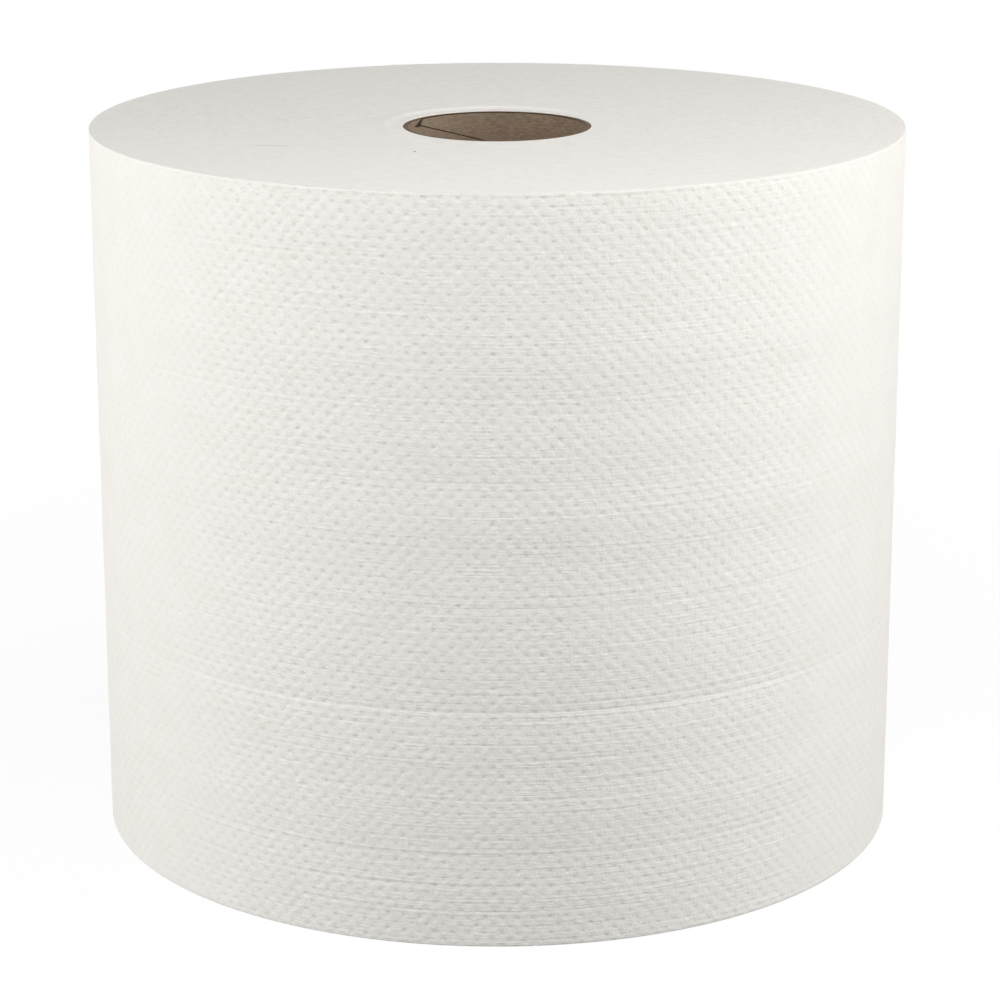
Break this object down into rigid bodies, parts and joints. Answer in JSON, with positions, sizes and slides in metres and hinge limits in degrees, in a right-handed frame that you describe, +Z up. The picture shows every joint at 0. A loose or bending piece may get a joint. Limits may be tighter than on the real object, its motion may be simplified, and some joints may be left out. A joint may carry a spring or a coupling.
{
  "type": "nonwoven wipe roll",
  "caption": "White embossed nonwoven wipes, perforated and wound on a spiral paperboard core, standing on end.",
  "frame": {"origin": "centre of the roll's lower end, on the core's axis", "axes": "+Z up along the core, -Y towards the front that the picture shows"},
  "size_m": [0.3457, 0.346, 0.305],
  "materials": {
    "paperboard": "matte",
    "nonwoven": "matte"
  },
  "bodies": {
    "root": {"core_tube": "paperboard", "wound_web": "nonwoven"}
  },
  "joints": []
}
